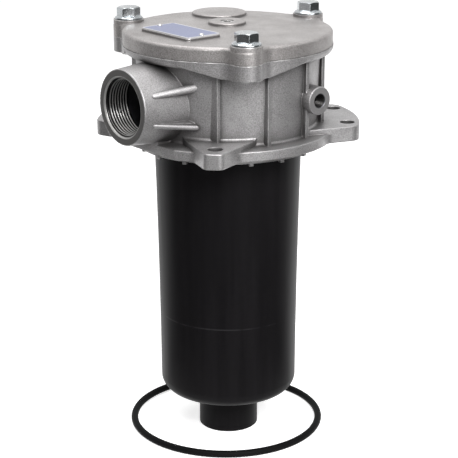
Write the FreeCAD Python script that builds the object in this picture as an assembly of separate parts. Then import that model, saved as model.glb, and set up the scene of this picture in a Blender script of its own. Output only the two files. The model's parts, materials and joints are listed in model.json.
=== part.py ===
"""Tank-top return line filter with a cast head, a moulded bowl and a bypass valve.

Millimetres. The origin is the centre of the tank mounting face on the filter's axis.
+Z points up to the cover, the inlet port points along -X and the bowl hangs down along -Z.
"""
import FreeCAD, Part
import math
import os

V = FreeCAD.Vector
UP = V(0, 0, 1)
ORIGIN = V(0, 0, 0)

# How far a cutting or joining shape runs past the face that it meets
PAST = 1.0

# Body of the head: a drafted wall with upright ribs
BODY_FOOT_R = 64.8
BODY_DRAFT = 2.4
HEAD_WALL = 3.5
LEDGE_Z = 4.0
SEAM_Z = 68.5
RIB_T = 2.8
RIB_PROUD = 4.7
RIB_XS = (-48.7, -17.6, 17.6, 48.7)
CAST_EDGE_R = 0.8
FOOT_COVE_R = 2.3

# Round rim under the cover
RIM_OVERHANG = 11.7
RIM_FLANGE_T = 6.0
RIM_UNDER_R = 5.0

# Tank flange: a ring with four ears
FLANGE_T = 7.0
FLANGE_EDGE = 7.7
FLANGE_SHIFT_X = -3.5
FLANGE_FLAT_X = 75.5
TANK_PCD = 175.0
TANK_HOLE_D = 11.0
EAR_T = 11.0
EAR_BLEND_R = 9.0
EAR_ROOT_X = 44.0
SINGLE_EAR_ANGLES = (-135.0, 45.0)
SINGLE_EAR_MARGIN = 11.2
SINGLE_EAR_TAPER = 26.0
SINGLE_EAR_END = 13.5
SINGLE_EAR_CORNER_R = 5.0
PAIR_EAR_ANGLES = (-30.0, 120.0)
PAIR_HALF_SPREAD = 15.0
PAIR_EAR_MARGIN = 13.3
PAIR_EAR_TAPER = 11.6
PAIR_EAR_END = 9.0
PAIR_EAR_CORNER_R = 9.0

# Seal groove and centring lip under the flange
FLANGE_SEAL_SECTION = 5.33
FLANGE_SEAL_LAND = 6.8
SEAL_SQUEEZE = 0.75
SEAL_SIDE_ROOM = 0.35
LIP_LAND = 2.6
LIP_WALL = 5.0
LIP_DROP = 5.5
NUB_COUNT = 17
NUB_DROP = 1.8
NUB_W = 3.0
NUB_DEPTH = 3.0
NUB_FIRST_ANGLE = -136.0
LOOSE_RING_X = 1.87
LOOSE_RING_Y = 4.88

# Cover bolts and their lobes
BOLT_BEYOND_RIM = 1.6
BOLT_ANGLES = (-120.0, 0.0, 120.0)
LOBE_R = 11.4
LOBE_BLEND_R = 12.0
LOBE_DEPTH = 11.1
LOBE_FLAT_HALF = 17.0
LOBE_ARM_HALF = 46.0
LOBE_ARM_SLOPE = 0.26
BOLT_D = 10.0
BOLT_LENGTH = 20.0
BOLT_THREAD_PLAY = 0.1
BOLT_TIP_ROOM = 1.5
BOLT_TIP_CHAMFER = 1.0
BOLT_CLEAR_D = 11.0
BOLT_AF = 15.0
BOLT_HEAD_H = 8.8
BOLT_FLANGE_R = 10.3
BOLT_FLANGE_T = 1.6
BOLT_FLANGE_EDGE = 0.4
BOLT_CONE_T = 1.5
BOLT_CROWN_ANGLE = 30.0
BOLT_TURNS = (3.0, -2.0, 24.0)

# Cover
COVER_RIM_T = 10.5
COVER_STEP = 0.5
COVER_WALL = 8.0
COVER_EDGE_R = 2.5
SPOTFACE_H = 2.0
SPOTFACE_R = 11.2
COVER_PLUG_DEPTH = 7.0
COVER_PLUG_WALL = 6.5
COVER_FIT = 0.25
COVER_SEAL_SECTION = 3.0
DISC_H = 2.4
DISC_EDGE_R = 0.9
SIDE_DISC_R = 20.5
SIDE_DISC_INSET = 0.5
SIDE_DISC_ANGLE = 57.2
VENT_DISC_R = 13.8
VENT_AT_R = 15.5
VENT_ANGLE = 52.0
VENT_BORE_R = 4.86
VENT_PLUG_LENGTH = 8.0
VENT_PLUG_SINK = 0.4
VENT_PLUG_AF = 5.0
VENT_SOCKET_DEPTH = 5.0
THREAD_PLAY = 0.06

# Nameplate
PLATE_L = 54.5
PLATE_W = 29.0
PLATE_T = 0.8
PLATE_FROM_RIM = 35.1
PLATE_Y = 2.1
PLATE_CORNER_R = 3.0
PAD_H = 1.9
PAD_MARGIN = 0.5
PAD_EDGE_R = 0.4
RIVET_R = 1.9
RIVET_H = 1.3
RIVET_SHANK_R = 1.2
RIVET_SHANK_L = 5.0
RIVET_TIP_ROOM = 0.2
RIVET_FROM_END = 3.2

# Inlet port
PORT_Z = 34.0
PORT_FACE_X = 95.0
PORT_FACE_R = 27.0
PORT_DRAFT_ANGLE = 4.3
PORT_BORE_R = 20.955
PORT_CHAMFER = 1.1
PORT_SADDLE_HALF_W = 14.0
FIN_UPPER_TILT = 23.5
FIN_UPPER_ROOT_T = 7.0
FIN_LOWER_TILT = -21.0
FIN_LOWER_ROOT_T = 3.8
FIN_TIP_T = 3.2
FIN_START_X = 88.0
FIN_END_X = 50.0
FIN_SLOPE = 0.26
FIN_ROOT_DEPTH = 8.0

# Indicator boss
INDICATOR_X = 24.5
INDICATOR_PROUD = 7.8
INDICATOR_R = 10.1
INDICATOR_BORE_R = 4.864
INDICATOR_CHAMFER = 0.5

# Bowl
COLLAR_W = 6.9
COLLAR_T = 7.0
COLLAR_FIT = 0.3
BOWL_MID_DRAFT = 2.2
BOWL_LOW_DRAFT = 3.1
BOWL_WALL = 3.0
BOWL_FLOOR_Z = -199.0
BOWL_FILLET = 10.7
BOWL_SEAL_SECTION = 3.0
SEAT_RING_H = 5.0
SEAT_RING_T = 3.0
SEAT_RING_GAP = 4.0
SPIGOT_LENGTH = 31.0
SPIGOT_R = 22.4
SPIGOT_BORE_R = 18.5
SPIGOT_CHAMFER = 0.8

# Filter element
ELEMENT_TOP_Z = 1.0
CAP_ROOM = 4.2
CAP_T = 4.0
CAP_SKIRT = 5.0
CAP_SKIRT_T = 1.2
PLEAT_COUNT = 48
PLEAT_DEPTH = 15.5
PLEAT_PAPER = 1.3
WRAP_T = 0.8
LAYER_GAP = 0.1
CORE_T = 1.2
CORE_HOLE_R = 3.5
CORE_HOLE_COLUMNS = 6
CORE_HOLE_ROWS = 6
NECK_FIT = 0.4
NECK_DROP = 18.0
NECK_WALL = 4.1
NECK_SEAL_SECTION = 2.6
NECK_SEAL_DROP = 12.6

# Bypass valve in the top cap
SEAT_BORE_R = 11.0
SEAT_BODY_R = 16.5
SEAT_FLANGE_W = 4.5
SEAT_FLANGE_T = 2.5
SEAT_DROP = 2.0
CAGE_T = 1.5
CAGE_LENGTH = 26.0
CAGE_FLOOR_T = 2.5
CAGE_BOSS_T = 2.0
CAGE_WINDOW_W = 12.0
CAGE_WINDOW_SILL = 2.5
CAGE_WINDOW_LINTEL = 6.8
POPPET_OVERLAP = 2.6
POPPET_T = 2.0
POPPET_SEAL_INSET = 0.4
POPPET_SEAL_T = 1.8
POPPET_GAP = 0.2
STEM_R = 3.0
PILOT_R = 4.5
GUIDE_BOSS_R = 6.0
STEM_FIT = 0.08
STEM_BELOW_CAGE = 6.0
NUT_AF = 10.0
NUT_T = 4.5
NUT_GAP = 0.3
BYPASS_WIRE_R = 0.9
BYPASS_SPRING_R = 8.0
BYPASS_SPRING_TURNS = 4.5

# Hold-down spring
HOLD_WIRE_R = 2.0
HOLD_SPRING_R = 27.0
HOLD_SPRING_TURNS = 4.0
SPRING_PLATE_MARGIN = 4.0
SPRING_PLATE_T = 1.5
SPRING_PLATE_RIM = 3.0
SPRING_PLATE_FIT = 0.3
SPRING_REST_GAP = 0.1
SPRING_WIRE_SIDES = 12
SPRING_STEPS_PER_TURN = 24

# Sizes that follow from the ones above
CHAMBER_R = BODY_FOOT_R - HEAD_WALL
INDICATOR_WALL_Y = math.sqrt(CHAMBER_R**2 - (abs(INDICATOR_X) + INDICATOR_R)**2)
RIM_R = BODY_FOOT_R + RIM_OVERHANG
PLATE_X = PLATE_FROM_RIM - RIM_R
RIM_LOW_Z = SEAM_Z - RIM_FLANGE_T
HOLE_R = TANK_PCD / 2
FLANGE_SEAL_CENTRE_R = BODY_FOOT_R + FLANGE_SEAL_LAND
FLANGE_R = FLANGE_SEAL_CENTRE_R + FLANGE_EDGE
LIP_R = FLANGE_SEAL_CENTRE_R - FLANGE_SEAL_SECTION / 2 - SEAL_SIDE_ROOM - LIP_LAND
BOLT_CIRCLE_R = RIM_R + BOLT_BEYOND_RIM
COVER_TOP_Z = SEAM_Z + COVER_RIM_T
COVER_UNDER_Z = COVER_TOP_Z - COVER_WALL
SPOTFACE_Z = COVER_TOP_Z + SPOTFACE_H
DISC_Z = COVER_TOP_Z + DISC_H
PLATE_Z = COVER_TOP_Z + PAD_H
INDICATOR_FACE = BODY_FOOT_R + INDICATOR_PROUD
COLLAR_R = CHAMBER_R - COLLAR_FIT
BOWL_TOP_R = CHAMBER_R - COLLAR_W
THROAT_R = BOWL_TOP_R + COLLAR_FIT
BOWL_LOW_R = BOWL_TOP_R - BOWL_LOW_DRAFT
BOWL_FOOT_Z = BOWL_FLOOR_Z - SPIGOT_LENGTH
BOWL_INSIDE_Z = BOWL_FLOOR_Z + BOWL_WALL
ELEMENT_BOTTOM_Z = BOWL_INSIDE_Z + SEAT_RING_H
CAP_R = BOWL_LOW_R - BOWL_WALL - CAP_ROOM
WRAP_R = CAP_R - CAP_SKIRT_T - LAYER_GAP
PLEAT_OUTER_R = WRAP_R - WRAP_T - LAYER_GAP
PLEAT_INNER_R = PLEAT_OUTER_R - PLEAT_DEPTH
CORE_R = PLEAT_INNER_R - LAYER_GAP
MEDIA_LOW = ELEMENT_BOTTOM_Z + CAP_T
MEDIA_HIGH = ELEMENT_TOP_Z - CAP_T
NECK_R = SPIGOT_BORE_R - NECK_FIT
SEAT_LOW = MEDIA_HIGH - SEAT_DROP
SEAT_FLANGE_R = SEAT_BODY_R + SEAT_FLANGE_W
CAGE_LOW = SEAT_LOW - CAGE_LENGTH
POPPET_R = SEAT_BORE_R + POPPET_OVERLAP
POPPET_TOP = SEAT_LOW - POPPET_GAP - POPPET_SEAL_T


def turn(shape, degrees, axis=UP, centre=ORIGIN):
    """Return a copy turned about an axis."""
    copy = shape.copy()
    copy.rotate(centre, axis, degrees)
    return copy


def polar(radius, degrees, z=0.0):
    angle = math.radians(degrees)
    return V(radius * math.cos(angle), radius * math.sin(angle), z)


def rod(radius, low, high, x=0.0, y=0.0):
    """Upright cylinder between two heights."""
    return Part.makeCylinder(radius, high - low, V(x, y, low))


def cone(low_r, high_r, low, high):
    return Part.makeCone(low_r, high_r, high - low, V(0, 0, low))


def tube(outer, inner, low, high):
    return rod(outer, low, high).cut(rod(inner, low - PAST, high + PAST))


def block(x0, x1, y0, y1, z0, z1):
    return Part.makeBox(x1 - x0, y1 - y0, z1 - z0, V(x0, y0, z0))


def torus(centre_r, section, z, x=0.0, y=0.0):
    return Part.makeTorus(centre_r, section / 2, V(x, y, z))


def polygon_face(points):
    return Part.Face(Part.makePolygon(list(points) + [points[0]]))


def spun(points):
    """Solid of revolution about Z from (radius, height) points."""
    face = polygon_face([V(radius, 0, z) for radius, z in points])
    return face.revolve(ORIGIN, UP, 360)


def hexagon(across_flats, low, high):
    corner = across_flats / math.sqrt(3)
    face = polygon_face([polar(corner, 60 * i, low) for i in range(6)])
    return face.extrude(V(0, 0, high - low))


def fused(shapes):
    return shapes[0].fuse(shapes[1:]).removeSplitter()


def is_upright(edge):
    box = edge.BoundBox
    return box.XLength < 1e-3 and box.YLength < 1e-3


def lies_at(edge, z):
    box = edge.BoundBox
    return abs(box.ZMin - z) < 1e-3 and abs(box.ZMax - z) < 1e-3


def soften(shape, radius, wanted):
    """Round every edge of a solid that the test function picks."""
    return shape.makeFillet(radius, [edge for edge in shape.Edges if wanted(edge)])


def soften_at(shape, radius, z):
    """Round the edges of a solid that lie flat at one height."""
    return soften(shape, radius, lambda edge: lies_at(edge, z))


def unit(vector):
    return vector / vector.Length


def arc_about(centre, start, end):
    """The short arc from start to end about a centre."""
    radius = (start - centre).Length
    middle = centre + unit((start - centre) + (end - centre)) * radius
    return Part.Arc(start, middle, end).toShape()


def lobed_prism(rim_r, low, high):
    """Round plate with a lobe at each cover bolt, blended into the rim by concave arcs."""
    reach = rim_r + LOBE_BLEND_R
    side = LOBE_R + LOBE_BLEND_R
    cosine = (reach**2 + BOLT_CIRCLE_R**2 - side**2) / (2 * reach * BOLT_CIRCLE_R)
    spread = math.degrees(math.acos(cosine))
    edges = []
    count = len(BOLT_ANGLES)
    for i, angle in enumerate(BOLT_ANGLES):
        lobe = polar(BOLT_CIRCLE_R, angle, low)
        before = polar(reach, angle - spread, low)
        after = polar(reach, angle + spread, low)
        lobe_start = lobe + unit(before - lobe) * LOBE_R
        lobe_tip = polar(BOLT_CIRCLE_R + LOBE_R, angle, low)
        lobe_end = lobe + unit(after - lobe) * LOBE_R
        rim_start = polar(rim_r, angle + spread, low)
        step = (BOLT_ANGLES[(i + 1) % count] - angle) % 360
        rim_middle = polar(rim_r, angle + step / 2, low)
        rim_end = polar(rim_r, angle + step - spread, low)
        edges.append(arc_about(before, polar(rim_r, angle - spread, low), lobe_start))
        edges.append(Part.Arc(lobe_start, lobe_tip, lobe_end).toShape())
        edges.append(arc_about(after, lobe_end, rim_start))
        edges.append(Part.Arc(rim_start, rim_middle, rim_end).toShape())
    return Part.Face(Part.Wire(edges)).extrude(V(0, 0, high - low))


def at_bolts():
    return [polar(BOLT_CIRCLE_R, angle) for angle in BOLT_ANGLES]


def body_r(z):
    """Radius of the drafted wall at a height."""
    return BODY_FOOT_R + BODY_DRAFT * z / SEAM_Z


def cove_ring(z):
    """Concave fillet that runs round the foot of the wall at one height."""
    wall_r = body_r(z)
    inner = V(wall_r - PAST, 0, z)
    outer = V(wall_r + FOOT_COVE_R, 0, z)
    top = V(wall_r, 0, z + FOOT_COVE_R)
    lid = V(wall_r - PAST, 0, z + FOOT_COVE_R)
    centre = V(wall_r + FOOT_COVE_R, 0, z + FOOT_COVE_R)
    edges = [
        Part.LineSegment(inner, outer).toShape(),
        arc_about(centre, outer, top),
        Part.LineSegment(top, lid).toShape(),
        Part.LineSegment(lid, inner).toShape(),
    ]
    return Part.Face(Part.Wire(edges)).revolve(ORIGIN, UP, 360)


def ear_plan(spread, margin, taper_angle, end, thickness):
    """Ear on the +X side: flanks that converge past its outermost holes and a round end."""
    taper = math.radians(taper_angle)
    end_r = HOLE_R + end
    on_flank = polar(HOLE_R, spread) + V(math.sin(taper), math.cos(taper), 0) * margin
    along = V(math.cos(taper), -math.sin(taper), 0)
    inner = on_flank + along * ((EAR_ROOT_X - on_flank.x) / along.x)
    outer = on_flank + along * ((end_r + PAST - on_flank.x) / along.x)
    plan = polygon_face([inner, outer, V(outer.x, -outer.y, 0), V(inner.x, -inner.y, 0)])
    return plan.extrude(V(0, 0, thickness)).common(rod(end_r, 0, thickness))


def ear(spread, margin, taper_angle, end, corner_r):
    """Full-height ear with round corners and a cove where it meets the wall."""
    plate = ear_plan(spread, margin, taper_angle, end, EAR_T)
    plate = soften(plate, corner_r, lambda edge: is_upright(edge) and edge.BoundBox.XMin > HOLE_R)
    plate = soften_at(plate, CAST_EDGE_R, EAR_T)
    tall = ear_plan(spread, margin, taper_angle, end, EAR_T + FOOT_COVE_R)
    return plate.fuse(tall.common(cove_ring(EAR_T)))


def is_inner_corner(edge):
    """Upright edge where an ear's flank leaves the flange ring."""
    radius = math.hypot(edge.BoundBox.XMin - FLANGE_SHIFT_X, edge.BoundBox.YMin)
    return is_upright(edge) and abs(radius - FLANGE_R) < 1e-3 and edge.BoundBox.XMin > PAST - FLANGE_FLAT_X


def tank_flange():
    """Ring with a flat under the port, and thicker ears blended into it."""
    ring = rod(FLANGE_R, 0, FLANGE_T, FLANGE_SHIFT_X)
    reach = FLANGE_R - FLANGE_SHIFT_X + PAST
    ring = ring.cut(block(-reach, -FLANGE_FLAT_X, -reach, reach, -PAST, FLANGE_T + PAST))
    single = (0, SINGLE_EAR_MARGIN, SINGLE_EAR_TAPER, SINGLE_EAR_END)
    pair = (PAIR_HALF_SPREAD, PAIR_EAR_MARGIN, PAIR_EAR_TAPER, PAIR_EAR_END)
    low = [ring]
    parts = [cove_ring(FLANGE_T)]
    for sizes, corner_r, angles in ((single, SINGLE_EAR_CORNER_R, SINGLE_EAR_ANGLES),
                                    (pair, PAIR_EAR_CORNER_R, PAIR_EAR_ANGLES)):
        plan = ear_plan(*sizes, FLANGE_T)
        plan = soften(plan, corner_r, lambda edge: is_upright(edge) and edge.BoundBox.XMin > HOLE_R)
        low += [turn(plan, angle) for angle in angles]
        parts += [turn(ear(*sizes, corner_r), angle) for angle in angles]
    sheet = soften(fused(low), EAR_BLEND_R, is_inner_corner)
    return parts + [soften_at(sheet, CAST_EDGE_R, FLANGE_T)]


def tank_holes():
    angles = list(SINGLE_EAR_ANGLES)
    for middle in PAIR_EAR_ANGLES:
        angles += [middle - PAIR_HALF_SPREAD, middle + PAIR_HALF_SPREAD]
    places = [polar(HOLE_R, angle) for angle in angles]
    return [rod(TANK_HOLE_D / 2, -PAST, EAR_T + PAST, place.x, place.y) for place in places]


def rim_flange():
    """Upper flange of the head: a round rim with a rolled underside."""
    return soften_at(rod(RIM_R, RIM_LOW_Z, SEAM_Z), RIM_UNDER_R, RIM_LOW_Z)


def head_lobes():
    """Bolt lobes under the rim: flat below the bolt, with arms that rise into the rim."""
    low = SEAM_Z - LOBE_DEPTH
    arm_z = low + LOBE_ARM_SLOPE * (LOBE_ARM_HALF - LOBE_FLAT_HALF)
    prism = lobed_prism(RIM_R, low - PAST, SEAM_Z)
    inner = CHAMBER_R / 2
    outer = BOLT_CIRCLE_R + LOBE_R + PAST
    corners = [
        V(inner, -LOBE_ARM_HALF, SEAM_Z),
        V(inner, -LOBE_ARM_HALF, arm_z),
        V(inner, -LOBE_FLAT_HALF, low),
        V(inner, LOBE_FLAT_HALF, low),
        V(inner, LOBE_ARM_HALF, arm_z),
        V(inner, LOBE_ARM_HALF, SEAM_Z),
    ]
    wedge = polygon_face(corners).extrude(V(outer - inner, 0, 0))
    return [turn(wedge, angle).common(prism) for angle in BOLT_ANGLES]


def side_ribs():
    """Upright ribs with flat ends that stand along Y, as the mould's side slides leave them."""
    front_r = BODY_FOOT_R + RIB_PROUD
    half = RIB_T / 2
    ribs = []
    for x in RIB_XS:
        far = math.sqrt(front_r**2 - x**2)
        near = math.sqrt((CHAMBER_R - PAST)**2 - x**2)
        low = FLANGE_T - PAST
        high = RIM_LOW_Z + PAST
        ribs.append(block(x - half, x + half, -far, -near, low, high))
        ribs.append(block(x - half, x + half, near, far, low, high))
    return ribs


def along_x(shape):
    """Lay an upright shape down so that its +Z end points along -X at port height."""
    laid = turn(shape, -90, V(0, 1, 0))
    laid.translate(V(0, 0, PORT_Z))
    return laid


def port_fin(tilt, root_t):
    """Tapered fin from the port's flank to the body, turned about the port's axis."""
    sections = []
    for x, thickness in ((FIN_START_X, FIN_TIP_T), (FIN_END_X, root_t)):
        half = thickness / 2
        near = PORT_FACE_R - FIN_ROOT_DEPTH
        far = PORT_FACE_R + FIN_SLOPE * (FIN_START_X - x)
        points = [V(-x, -near, -half), V(-x, -far, -half), V(-x, -far, half), V(-x, -near, half)]
        sections.append(Part.makePolygon(points + [points[0]]))
    fin = turn(Part.makeLoft(sections, True, True), -tilt, V(1, 0, 0))
    fin.translate(V(0, 0, PORT_Z))
    return fin


def port_neck():
    """Conical neck of the inlet, from inside the wall out to its face."""
    start = CHAMBER_R / 2
    root_r = PORT_FACE_R + (PORT_FACE_X - start) * math.tan(math.radians(PORT_DRAFT_ANGLE))
    return along_x(soften_at(cone(root_r, PORT_FACE_R, start, PORT_FACE_X), CAST_EDGE_R, PORT_FACE_X))


def port_webs():
    """Saddle under the port down to the flange, and two fins on each flank."""
    half = PORT_SADDLE_HALF_W
    saddle_top = PORT_Z - math.sqrt(PORT_FACE_R**2 - half**2) + PAST
    parts = [block(-FLANGE_FLAT_X, -CHAMBER_R, -half, half, FLANGE_T / 2, saddle_top)]
    for tilt, root_t in ((FIN_UPPER_TILT, FIN_UPPER_ROOT_T), (FIN_LOWER_TILT, FIN_LOWER_ROOT_T)):
        fin = port_fin(tilt, root_t)
        parts += [fin, fin.mirror(ORIGIN, V(0, 1, 0))]
    return parts


def port_bore():
    mouth_r = PORT_BORE_R + PORT_CHAMFER
    mouth = cone(PORT_BORE_R, mouth_r, PORT_FACE_X - PORT_CHAMFER, PORT_FACE_X)
    return along_x(rod(PORT_BORE_R, 0, PORT_FACE_X + PAST).fuse(mouth))


def along_minus_y(shape):
    """Lay an upright shape down so that its +Z end points along -Y at the indicator."""
    laid = turn(shape, 90, V(1, 0, 0))
    laid.translate(V(INDICATOR_X, 0, PORT_Z))
    return laid


def indicator_boss():
    """Round boss for a clogging indicator."""
    boss = rod(INDICATOR_R, INDICATOR_WALL_Y - PAST, INDICATOR_FACE)
    return along_minus_y(soften_at(boss, CAST_EDGE_R, INDICATOR_FACE))


def indicator_bore():
    mouth_r = INDICATOR_BORE_R + INDICATOR_CHAMFER
    mouth = cone(INDICATOR_BORE_R, mouth_r, INDICATOR_FACE - INDICATOR_CHAMFER, INDICATOR_FACE)
    return along_minus_y(rod(INDICATOR_BORE_R, INDICATOR_WALL_Y - PAST, INDICATOR_FACE + PAST).fuse(mouth))


def flange_seal_groove():
    half = FLANGE_SEAL_SECTION / 2 + SEAL_SIDE_ROOM
    depth = FLANGE_SEAL_SECTION * SEAL_SQUEEZE
    return tube(FLANGE_SEAL_CENTRE_R + half, FLANGE_SEAL_CENTRE_R - half, -PAST, depth)


def centring_lip():
    """Short skirt that drops into the tank's cut-out, with nubs round its edge."""
    inner = LIP_R - LIP_WALL
    parts = [tube(LIP_R, inner, -LIP_DROP, LEDGE_Z / 2)]
    nub_ring = tube(LIP_R, LIP_R - NUB_DEPTH, -LIP_DROP - NUB_DROP, -LIP_DROP / 2)
    slab = block(inner, LIP_R + PAST, -NUB_W / 2, NUB_W / 2, -LIP_DROP - NUB_DROP, -LIP_DROP / 2)
    nub = nub_ring.common(slab)
    return parts + [turn(nub, NUB_FIRST_ANGLE + 360 * i / NUB_COUNT) for i in range(NUB_COUNT)]


def head_casting():
    wall = cone(BODY_FOOT_R, body_r(SEAM_Z), 0, SEAM_Z)
    solids = [wall, rim_flange(), indicator_boss()] + tank_flange() + head_lobes() + side_ribs()
    casting = fused(solids + [port_neck()] + port_webs() + centring_lip())
    tap_low = SPOTFACE_Z - BOLT_LENGTH - BOLT_TIP_ROOM
    cuts = [rod(BOLT_D / 2, tap_low, SEAM_Z + PAST, at.x, at.y) for at in at_bolts()]
    cuts.append(rod(CHAMBER_R, LEDGE_Z, SEAM_Z + PAST))
    cuts.append(rod(THROAT_R, -PAST, LEDGE_Z + PAST))
    return casting.cut(cuts + tank_holes() + [port_bore(), indicator_bore(), flange_seal_groove()])


def disc_places():
    """Centres and radii of the two raised discs on the cover."""
    side = polar(RIM_R - SIDE_DISC_R - SIDE_DISC_INSET, SIDE_DISC_ANGLE)
    return ((polar(VENT_AT_R, VENT_ANGLE), VENT_DISC_R), (side, SIDE_DISC_R))


def cover():
    """Lobed lid with raised discs, a nameplate pad and a spigot that fits the chamber."""
    lid = soften_at(lobed_prism(RIM_R - COVER_STEP, SEAM_Z, COVER_TOP_Z), COVER_EDGE_R, COVER_TOP_Z)
    plug_r = CHAMBER_R - COVER_FIT
    plug_bore = plug_r - COVER_PLUG_WALL
    lid = lid.cut(rod(plug_bore, SEAM_Z - PAST, COVER_UNDER_Z))
    parts = [lid, tube(plug_r, plug_bore, SEAM_Z - COVER_PLUG_DEPTH, SEAM_Z + PAST)]
    parts += [rod(SPOTFACE_R, SEAM_Z + PAST, SPOTFACE_Z, at.x, at.y) for at in at_bolts()]
    for at, radius in disc_places():
        disc = rod(radius, COVER_TOP_Z - PAST, DISC_Z, at.x, at.y)
        parts.append(soften_at(disc, DISC_EDGE_R, DISC_Z))
    parts.append(soften_at(rounded_plate(PAD_MARGIN, COVER_TOP_Z - PAST, PLATE_Z), PAD_EDGE_R, PLATE_Z))
    guide_r = HOLD_SPRING_R - HOLD_WIRE_R - COVER_FIT
    guide_low = COVER_UNDER_Z - 2 * HOLD_WIRE_R
    parts.append(tube(guide_r, guide_r - 2 * HOLD_WIRE_R, guide_low, COVER_UNDER_Z + PAST))
    cuts = [rod(BOLT_CLEAR_D / 2, SEAM_Z - PAST, SPOTFACE_Z + PAST, at.x, at.y) for at in at_bolts()]
    for y in rivet_places():
        cuts.append(rod(RIVET_SHANK_R, rivet_tip() - RIVET_TIP_ROOM, PLATE_Z + PAST, PLATE_X, y))
    vent = polar(VENT_AT_R, VENT_ANGLE)
    cuts.append(rod(VENT_BORE_R, COVER_UNDER_Z - PAST, DISC_Z + PAST, vent.x, vent.y))
    cuts.append(seal_groove(CHAMBER_R, COVER_SEAL_SECTION, cover_seal_z()))
    return fused(parts).cut(cuts)


def seal_groove(bore_r, section, z):
    """Groove whose floor lies one ring section inside the bore that it seals against."""
    half = section / 2 + SEAL_SIDE_ROOM
    return tube(bore_r + PAST, bore_r - section, z - half, z + half)


def seal_ring(bore_r, section, z):
    """Ring that bridges a groove's floor and the bore round it."""
    return torus(bore_r - section / 2, section, z)


def cover_seal_z():
    return SEAM_Z - COVER_PLUG_DEPTH / 2


def cover_o_ring():
    return seal_ring(CHAMBER_R, COVER_SEAL_SECTION, cover_seal_z())


def rounded_plate(margin, low, high):
    half_w = PLATE_W / 2 + margin
    half_l = PLATE_L / 2 + margin
    plate = block(PLATE_X - half_w, PLATE_X + half_w, PLATE_Y - half_l, PLATE_Y + half_l, low, high)
    return soften(plate, PLATE_CORNER_R, is_upright)


def rivet_places():
    reach = PLATE_L / 2 - RIVET_FROM_END
    return (PLATE_Y - reach, PLATE_Y + reach)


def rivet_tip():
    return PLATE_Z + PLATE_T - RIVET_SHANK_L


def nameplate():
    plate = rounded_plate(0, PLATE_Z, PLATE_Z + PLATE_T)
    low = PLATE_Z - PAST
    high = PLATE_Z + PLATE_T + PAST
    return plate.cut([rod(RIVET_SHANK_R, low, high, PLATE_X, y) for y in rivet_places()])


def nameplate_rivets():
    """Domed drive rivets: a ball cap over a plain shank."""
    low = PLATE_Z + PLATE_T
    ball_r = (RIVET_R**2 + RIVET_H**2) / (2 * RIVET_H)
    rivets = []
    for y in rivet_places():
        ball = Part.makeSphere(ball_r, V(PLATE_X, y, low + RIVET_H - ball_r))
        cap = ball.common(rod(ball_r, low, low + RIVET_H, PLATE_X, y))
        shank = rod(RIVET_SHANK_R - THREAD_PLAY, rivet_tip(), low + RIVET_H / 2, PLATE_X, y)
        rivets.append(fused([cap, shank]))
    return Part.makeCompound(rivets)


def cover_bolt():
    """Flange-head bolt about the Z axis, standing on the spotface."""
    foot = SPOTFACE_Z
    rim_top = foot + BOLT_FLANGE_T
    top = foot + BOLT_HEAD_H
    tip = foot - BOLT_LENGTH
    soft = BOLT_FLANGE_EDGE
    flange = spun([(0, foot), (BOLT_FLANGE_R - soft, foot), (BOLT_FLANGE_R, foot + soft),
                   (BOLT_FLANGE_R, rim_top - soft), (BOLT_FLANGE_R - soft, rim_top),
                   (BOLT_AF / 2, rim_top + BOLT_CONE_T), (0, rim_top + BOLT_CONE_T)])
    crown_r = BOLT_AF / 2
    fall = BOLT_FLANGE_R - crown_r
    low = top - fall * math.tan(math.radians(BOLT_CROWN_ANGLE))
    crown = spun([(0, rim_top), (BOLT_FLANGE_R, rim_top), (BOLT_FLANGE_R, low), (crown_r, top), (0, top)])
    shank = rod(BOLT_D / 2 - BOLT_THREAD_PLAY, tip, foot + PAST)
    shank = shank.makeChamfer(BOLT_TIP_CHAMFER, [edge for edge in shank.Edges if lies_at(edge, tip)])
    return fused([flange, hexagon(BOLT_AF, rim_top, top).common(crown), shank])


def cover_bolts():
    bolts = []
    for at, twist in zip(at_bolts(), BOLT_TURNS):
        bolt = turn(cover_bolt(), twist)
        bolt.translate(at)
        bolts.append(bolt)
    return Part.makeCompound(bolts)


def vent_plug():
    """Headless plug with a hexagon socket, just below the face of its disc."""
    top = DISC_Z - VENT_PLUG_SINK
    plug = rod(VENT_BORE_R - THREAD_PLAY, top - VENT_PLUG_LENGTH, top)
    plug = plug.cut(hexagon(VENT_PLUG_AF, top - VENT_SOCKET_DEPTH, top + PAST))
    plug.translate(polar(VENT_AT_R, VENT_ANGLE))
    return plug


def bowl_side(offset, top_z):
    """Drawn-in wall and foot fillet of the bowl, set in from the outside by an offset."""
    radius = BOWL_FILLET - offset
    corner_z = BOWL_FLOOR_Z + BOWL_FILLET
    centre = V(BOWL_LOW_R - BOWL_FILLET, 0, corner_z)
    top = V(BOWL_TOP_R - offset, 0, top_z)
    middle = V(BOWL_TOP_R - BOWL_MID_DRAFT - offset, 0, corner_z / 2)
    low = V(BOWL_LOW_R - offset, 0, corner_z)
    floor = V(centre.x, 0, corner_z - radius)
    return [Part.Arc(top, middle, low).toShape(), arc_about(centre, low, floor)]


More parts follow.
